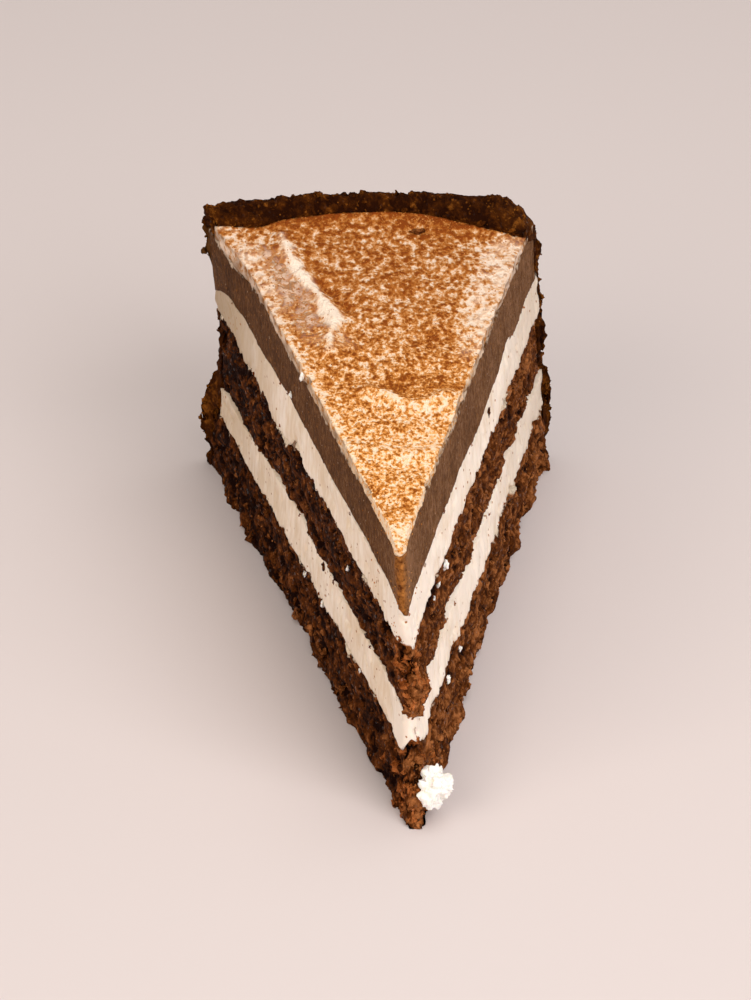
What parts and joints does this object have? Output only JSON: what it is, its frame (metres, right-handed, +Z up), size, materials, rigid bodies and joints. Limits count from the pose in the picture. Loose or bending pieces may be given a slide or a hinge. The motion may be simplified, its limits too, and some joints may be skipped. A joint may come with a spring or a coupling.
{
  "type": "slice of layered coffee cake",
  "caption": "Wedge slice of layered coffee cake: dark sponge, cream and mousse layers, cocoa-dusted cream top, crumb-coated round side with a low rim.",
  "frame": {"origin": "middle of the bounding box's lowest face, on the surface that the slice stands on", "axes": "+Z up, -Y towards the tip of the slice, +Y towards the round crumb-coated side, +X to the right seen from the tip"},
  "size_m": [0.0724, 0.1304, 0.0586],
  "materials": {
    "dark_sponge": "moist open crumb, matte with small glints",
    "ivory_cream": "soft satin cream",
    "coffee_mousse": "smooth cut mousse, satin",
    "dusted_cream": "white cream under dry cocoa powder",
    "crumb_coat": "rough pressed cake crumbs"
  },
  "bodies": {
    "root": {"sponge_bottom": "dark_sponge", "cream_lower": "ivory_cream", "sponge_middle": "dark_sponge", "cream_upper": "ivory_cream", "mousse": "coffee_mousse", "cream_top": "dusted_cream", "crumb_rim": "crumb_coat", "cream_lump": "ivory_cream"}
  },
  "joints": []
}
